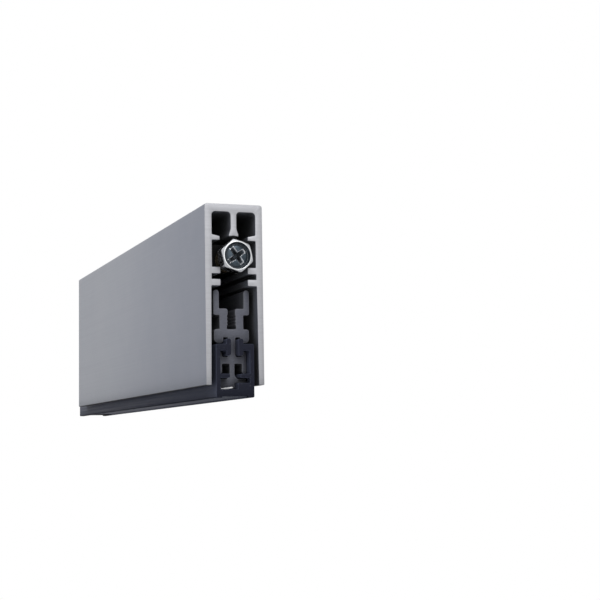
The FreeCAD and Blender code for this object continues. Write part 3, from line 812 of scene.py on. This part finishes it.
@dataclass
class AdjustingScrew:
    """The hexagon screw in the seal's end: a dished head with a cross recess, and its thread.

    Each row of dish is a ring: how far in millimetres it lies inside the rim, its share of the
    dish's depth and its share of the groove's.
    """

    shop: Shop
    across_flats: float = 7.0 * MM
    head_height: float = 4.0 * MM
    turn: float = math.radians(12.0)
    corner_break: float = math.radians(27.0)
    corner_share: float = 0.992
    corner_height: float = 0.08 * MM
    chamfer_angle: float = math.radians(30.0)
    chamfer_start: float = 0.1 * MM
    back_break: float = 0.05 * MM
    back_slope: float = 0.6
    rim_share: float = 0.97
    rim_inner: float = 6.2 * MM
    rim_break: float = 0.06 * MM
    rim_lip: float = 0.07 * MM
    rim_fall: float = 0.03 * MM
    dish_middle: float = 0.9 * MM
    dish_depth: float = 0.55 * MM
    dish_groove: float = 0.35 * MM
    dish: tuple[Triple, ...] = ((0.95, 1.0, 0.0), (0.6, 1.0, 0.7), (0.38, 1.0, 1.0), (0.2, 1.0, 0.5),
                                (0.06, 0.4, 0.0))
    recess_turn: float = math.radians(55.0)
    recess_reach: float = 2.0 * MM
    recess_width: float = 0.85 * MM
    recess_depth: float = 1.6 * MM
    recess_edge: float = 0.22 * MM
    recess_above: float = 0.6 * MM
    recess_shorter: float = 0.55
    recess_thinner: float = 0.18
    wing_round: float = 0.6
    wing_points: int = 12
    bright_rim: float = 0.12 * MM
    bright_slopes: tuple[float, float] = (0.4, 0.95)
    bright_reach: float = 1.15
    back_margin: float = 0.1 * MM
    shank_radius: float = 2.0 * MM
    shank_play: float = 0.03 * MM
    shank_overlap: float = 0.02 * MM
    tip_length: float = 0.6 * MM
    tip_taper: float = 0.45 * MM
    thread: Thread = Thread(pitch=0.7 * MM, depth=0.36 * MM, rows=8, around=40, run_in=1.5, run_out=2.0,
                            start_depth=0.0, end_depth=0.15)
    around: int = 96
    sharp: float = 38.0
    axis: Vector = field(init=False)
    face: float = field(init=False)

    def build(self) -> None:
        """Builds the screw in place of its plain solid."""
        low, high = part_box("adjusting_screw")
        self.axis = centre_of("adjusting_screw")
        self.face = low.y
        mesh = self.shop.carve(self.head(), self.recess())
        start = self.face + self.head_height - self.shank_overlap
        skin(mesh, self.thread.rings(
            mesh, high.y - start, self.shank_radius - self.shank_play, self.tip_taper, self.tip_length,
            lambda reach, angle, along: self.place(reach, angle, start + along)))
        screw = self.shop.piece("adjusting_screw_finished", mesh, "screw", "screw", ZINC_PLATE,
                                ("adjusting_screw",), sharp=self.sharp)
        self.darken_dish(screw)

    def darken_dish(self, screw: bpy.types.Object) -> None:
        """Gives the dish and the recess, all but its broken edges, a dark copy of the zinc as painted shade.

        Args:
            screw: the finished screw.
        """
        screw.data.materials.append(ZINC_PAINTED_SHADE.build())
        floor = self.face + self.dish_depth
        least, most = self.bright_slopes
        for face in screw.data.polygons:
            out = Vector((face.center.x - self.axis.x, face.center.z - self.axis.z)).length
            along = face.center.y
            dish = out < self.rim_inner / 2 and along < self.face + self.head_height - self.back_margin
            rim = along < self.face + self.bright_rim
            sloped = least < abs(face.normal.y) < most
            edge = sloped and out < self.recess_reach * self.bright_reach and along < floor + self.recess_edge
            if dish and not rim and not edge:
                face.material_index = 1

    def hexagon(self, angle: float) -> float:
        """The hexagon's radius at an angle, with its corners just broken."""
        sector = math.radians(60.0)
        local = (angle - self.turn - math.radians(30.0) + sector / 2) % sector - sector / 2
        flat = self.across_flats / 2
        return min(flat / math.cos(sector / 2 - abs(local)), flat / math.cos(self.corner_break))

    def place(self, reach: float, angle: float, along: float) -> Triple:
        """Gives the place at a radius and an angle round the axis, at a place along it."""
        return (self.axis.x + reach * math.cos(angle), along, self.axis.z + reach * math.sin(angle))

    def ring(self, mesh: Mesh, reach: float | Callable[[float], float],
             y: float | Callable[[float], float]) -> Ring:
        """Adds a ring round the screw's axis.

        Args:
            mesh: the screw's mesh.
            reach: the radius, or a function of the angle that gives it.
            y: the place along the axis, or a function of the radius that gives it.

        Returns:
            The ring's vertices.
        """
        def point(angle: float) -> Triple:
            """The vertex at an angle."""
            radius = reach(angle) if callable(reach) else reach
            return self.place(radius, angle, y(radius) if callable(y) else y)

        return ring(mesh, self.around, point)

    def head(self) -> Mesh:
        """Makes the head: chamfered hexagon, raised rim and dished middle.

        Returns:
            The head's mesh.
        """
        mesh = bmesh.new()
        flat = self.across_flats / 2
        rim = flat * self.rim_share
        inner = self.rim_inner / 2
        slope = math.tan(self.chamfer_angle)
        back = self.face + self.head_height

        def corner(angle: float) -> float:
            """The hexagon just inside its edges."""
            return self.hexagon(angle) * self.corner_share

        def front_edge(radius: float) -> float:
            """The chamfer falls away towards the corners."""
            return self.face + self.chamfer_start + (radius - rim) * slope

        def back_edge(radius: float) -> float:
            """The back is broken the same way, but less."""
            return back - self.back_break - max(0.0, radius - flat) * slope * self.back_slope

        rings = [self.ring(mesh, self.dish_middle, self.face + self.dish_depth)]
        rings += [self.ring(mesh, inner - inside * MM,
                            self.face + self.dish_depth * dished + self.dish_groove * grooved)
                  for inside, dished, grooved in self.dish]
        rings += [
            self.ring(mesh, inner, self.face + self.rim_break),
            self.ring(mesh, inner + self.rim_lip, self.face),
            self.ring(mesh, rim - self.rim_break, self.face),
            self.ring(mesh, rim, self.face + self.rim_fall),
            self.ring(mesh, corner, front_edge),
            self.ring(mesh, self.hexagon, lambda radius: front_edge(radius) + self.corner_height),
            self.ring(mesh, self.hexagon, lambda radius: back_edge(radius) - self.rim_break),
            self.ring(mesh, corner, back_edge),
            self.ring(mesh, rim, back),
        ]
        skin(mesh, rings)
        return mesh

    def recess(self) -> Mesh:
        """Makes the tool for the cross recess, with a broken edge and wings that narrow as they go down.

        Returns:
            The tool's mesh.
        """
        mesh = bmesh.new()
        floor = self.face + self.dish_depth
        wider = self.recess_edge + self.recess_above
        levels = ((-self.recess_above, wider, wider),
                  (self.recess_edge, 0.0, 0.0),
                  (self.recess_depth, -self.recess_reach * self.recess_shorter,
                   -self.recess_width * self.recess_thinner))
        apart = 360.0 / self.wing_points
        first = apart / 2 - 90.0
        for quarter in (0.0, math.pi / 2):
            turn = Quaternion((0, 1, 0), self.recess_turn + quarter)
            rings = []
            for depth, longer, thicker in levels:
                x = self.recess_reach + longer
                z = self.recess_width / 2 + thicker
                bulge = self.wing_round * z
                verts = []
                for step in range(self.wing_points):
                    angle = math.radians(first + apart * step)
                    end = 1.0 if step < self.wing_points / 2 else -1.0
                    corner = Vector((end * (x - bulge) + bulge * math.cos(angle), 0, z * math.sin(angle)))
                    corner.rotate(turn)
                    verts.append(mesh.verts.new((self.axis.x + corner.x, floor + depth,
                                                 self.axis.z + corner.z)))
                rings.append(verts)
            skin(mesh, rings)
        return mesh


@dataclass
class Fasteners:
    """The small screws: domed heads on the saddles, and headless screws that clamp the slide blocks.

    Each row of dome is a ring: its shares of the head's radius and of the head's height, from the top.
    """

    shop: Shop
    head_radius: float = 1.8 * MM
    head_height: float = 0.7 * MM
    dome: tuple[tuple[float, float], ...] = ((0.3, 0.0), (0.62, 0.06), (0.86, 0.25), (0.97, 0.5), (1.0, 0.72),
                                             (0.98, 1.0))
    shank_radius: float = 0.8 * MM
    cross_reach: float = 1.0 * MM
    cross_width: float = 0.38 * MM
    cross_depth: float = 0.5 * MM
    cross_narrowing: float = 0.6
    socket: float = 1.25 * MM
    socket_depth: float = 0.8 * MM
    tool_above: float = 0.2 * MM
    start_height: float = 0.12 * MM
    start_break: float = 0.08 * MM
    thread: Thread = Thread(pitch=0.4 * MM, depth=0.14 * MM, rows=7, around=28, run_in=1.0, run_out=1.0,
                            start_depth=0.2, end_depth=0.2)
    tip_taper: float = 0.3
    tip_turns: float = 0.5
    sharp: float = 36.0

    def build(self) -> None:
        """Builds every small screw in place of its plain solid."""
        for side in Side:
            for number in (1, 2):
                self.screw("saddle_screw_%s_%d" % (side.value, number), "carrier", Recess.CROSS)
            self.screw("set_screw_" + side.value, "rod", Recess.HEXAGON)

    def screw(self, node: str, body: str, recess: Recess) -> None:
        """Builds one screw that stands upright, head up.

        Args:
            node: the solid that it stands for.
            body: the body that it rides on.
            recess: what its head takes.
        """
        low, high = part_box(node)
        middle = centre_of(node)
        mesh = bmesh.new()
        if recess is Recess.CROSS:
            radius, start = self.shank_radius, high.z - self.head_height
            levels = [(reach * self.head_radius, high.z - fall * self.head_height)
                      for reach, fall in self.dome]
        else:
            radius, start = (high.x - low.x) / 2, high.z - self.start_height
            levels = [(radius - self.thread.depth - self.start_break, high.z)]
        rings = [ring(mesh, self.thread.around, lambda angle: self.place(middle, reach, angle, z))
                 for reach, z in levels]
        rings += self.thread.rings(
            mesh, start - low.z, radius, self.tip_taper * radius, self.tip_turns * self.thread.pitch,
            lambda reach, angle, along: self.place(middle, reach, angle, start - along))
        skin(mesh, rings)
        for tool in self.tools(recess, middle, high.z):
            mesh = self.shop.carve(mesh, tool)
        self.shop.piece(node + "_finished", mesh, body, "pin", ZINC_PLATE, (node,), sharp=self.sharp)

    @staticmethod
    def place(middle: Vector, reach: float, angle: float, z: float) -> Triple:
        """Gives the place at a radius and an angle round a screw's middle, at a height."""
        return (middle.x + reach * math.cos(angle), middle.y + reach * math.sin(angle), z)

    def tools(self, recess: Recess, middle: Vector, top: float) -> list[Mesh]:
        """Makes the tools that cut the head's recess.

        Args:
            recess: which recess.
            middle: the screw's middle.
            top: the head's top.

        Returns:
            Two crossed wings that narrow downwards, or one hexagon.
        """
        if recess is Recess.HEXAGON:
            corner = self.socket / 2 / math.cos(math.radians(30.0))
            outlines = [[(corner * math.cos(math.tau * step / 6), corner * math.sin(math.tau * step / 6))
                         for step in range(6)]]
            depth, narrowing = self.socket_depth, 1.0
        else:
            half, reach = self.cross_width / 2, self.cross_reach
            wing = [(-reach, -half), (reach, -half), (reach, half), (-reach, half)]
            outlines = [wing, [(-y, x) for x, y in wing]]
            depth, narrowing = self.cross_depth, self.cross_narrowing
        levels = ((1.0, top + self.tool_above), (1.0, top), (narrowing, top - depth))
        tools = []
        for outline in outlines:
            mesh = bmesh.new()
            skin(mesh, [[mesh.verts.new((middle.x + share * x, middle.y + share * y, z)) for x, y in outline]
                        for share, z in levels])
            tools.append(mesh)
        return tools


@dataclass(frozen=True)
class Lamp:
    """A square soft box: its place, the length of its side and its power in watts."""

    name: str
    place: Triple
    size: float
    power: float


@dataclass
class Studio:
    """A white studio: floor, soft lamps, white surroundings and the camera."""

    camera_place: Vector = Vector((-95.043, -365.898, -56.258)) * MM
    camera_aim: Vector = Vector((21.212, -59.131, -20.495)) * MM
    camera_roll: float = math.radians(-1.043)
    lens: float = 80.64
    sensor: float = 36.0
    clip_start: float = 0.01
    floor_radius: float = 0.9
    floor_segments: int = 96
    floor_gap: float = 0.02 * MM
    fade_start: float = 0.2
    fade_end: float = 0.95
    paper: Triple = (0.88, 0.88, 0.88)
    paper_roughness: float = 0.9
    footprint: tuple[float, float] = (4.3 * MM, 71.0 * MM)
    footprint_blur: float = 0.2 * MM
    surround: float = 0.5
    lamp_aim: Vector = Vector((0.0, -0.03, -0.02))
    soft_boxes: tuple[Lamp, ...] = (
        Lamp("key", (-0.02, -0.42, 0.34), 0.3, 1.25), Lamp("fill", (0.06, -0.62, 0.03), 0.4, 0.5),
        Lamp("top", (-0.1, 0.1, 0.6), 0.6, 1.0), Lamp("back_left", (-0.45, 0.5, 0.15), 0.6, 0.2))

    def build(self) -> None:
        """Sets up everything round the part."""
        self.floor()
        self.world()
        self.lamps()
        self.camera()
        bpy.context.scene.view_settings.view_transform = "Standard"

    def floor(self) -> None:
        """Lays a pale floor under the seal, which drops with it and can't be seen from below."""
        low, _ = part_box("seal")
        mesh = bmesh.new()
        bmesh.ops.create_circle(mesh, cap_ends=True, segments=self.floor_segments, radius=self.floor_radius)
        floor = Shop.loose("floor", mesh)
        floor.location.z = low.z - self.floor_gap
        floor.data.materials.append(self.floor_paper())
        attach(floor, "carrier")

    def floor_paper(self) -> bpy.types.Material:
        """Makes the floor's paper, clear at its rim, from below and under the seal.

        Returns:
            The material.
        """
        material = bpy.data.materials.new("floor_paper")
        material.use_nodes = True
        graph = Graph(material.node_tree)
        paper = graph.add("BsdfPrincipled", Roughness=self.paper_roughness)
        graph.link(self.paper, paper.inputs["Base Color"])
        clear = graph.add("BsdfTransparent")
        shape = graph.add("NewGeometry")
        place = graph.add("TexCoord")
        distance = graph.add("VectorMath", operation="LENGTH")
        graph.link(place.outputs["Object"], distance.inputs[0])
        rim = graph.spread(distance.outputs["Value"], self.fade_start, self.floor_radius * self.fade_end)
        parts = graph.add("SeparateXYZ")
        graph.link(place.outputs["Object"], parts.inputs["Vector"])
        beside, along = (graph.math("SUBTRACT", graph.math("ABSOLUTE", parts.outputs[axis]), half)
                         for axis, half in zip("XY", self.footprint))
        under = graph.spread(graph.math("MAXIMUM", beside, along), -self.footprint_blur, 0.0, 1.0, 0.0)
        hidden = graph.math("MAXIMUM", rim, shape.outputs["Backfacing"])
        mix = graph.add("MixShader")
        graph.link(graph.math("MAXIMUM", hidden, under), mix.inputs["Fac"])
        graph.link(paper.outputs["BSDF"], mix.inputs[1])
        graph.link(clear.outputs["BSDF"], mix.inputs[2])
        output = graph.add("OutputMaterial")
        graph.link(mix.outputs["Shader"], output.inputs["Surface"])
        return material

    def world(self) -> None:
        """Makes the surroundings white to the eye and in reflections, and softer as light."""
        world = bpy.data.worlds.new("studio")
        bpy.context.scene.world = world
        world.use_nodes = True
        graph = Graph(world.node_tree)
        ray = graph.add("LightPath")
        seen = graph.math("MAXIMUM", ray.outputs["Is Camera Ray"], ray.outputs["Is Glossy Ray"])
        seen = graph.math("MAXIMUM", seen, ray.outputs["Is Transmission Ray"])
        back = graph.add("Background", Color=(1.0, 1.0, 1.0, 1.0))
        graph.link(graph.spread(seen, 0.0, 1.0, self.surround, 1.0), back.inputs["Strength"])
        output = graph.add("OutputWorld")
        graph.link(back.outputs["Background"], output.inputs["Surface"])

    def lamps(self) -> None:
        """Hangs the soft boxes: a key above the end, a low fill, a top light and a dim one behind."""
        for box in self.soft_boxes:
            lamp = bpy.data.lights.new(box.name, "AREA")
            lamp.energy = box.power
            lamp.size = box.size
            lamp.shape = "SQUARE"
            holder = bpy.data.objects.new(box.name, lamp)
            holder.location = box.place
            aim = self.lamp_aim - holder.location
            holder.rotation_euler = aim.to_track_quat("-Z", "Y").to_euler()
            holder.visible_camera = False
            bpy.context.scene.collection.objects.link(holder)

    def camera(self) -> None:
        """Places the camera where the photograph was taken from."""
        data = bpy.data.cameras.new("camera")
        data.lens = self.lens
        data.sensor_width = self.sensor
        data.clip_start = self.clip_start
        camera = bpy.data.objects.new("camera", data)
        camera.location = self.camera_place
        look = (self.camera_aim - self.camera_place).to_track_quat("-Z", "Y")
        camera.rotation_mode = "QUATERNION"
        camera.rotation_quaternion = look @ Quaternion((0, 0, 1), self.camera_roll)
        bpy.context.scene.collection.objects.link(camera)
        bpy.context.scene.camera = camera


def main() -> None:
    """Builds the sub-assemblies and the studio."""
    logging.basicConfig(level=logging.INFO, format="%(name)s: %(message)s")
    shop = Shop()
    parts = (Case(shop), Carrier(shop), PushRod(shop), ReturnSpring(shop), AdjustingScrew(shop),
             Fasteners(shop), Studio())
    for part in parts:
        part.build()
        log.info("%s done", type(part).__name__)


if __name__ == "__main__":
    main()
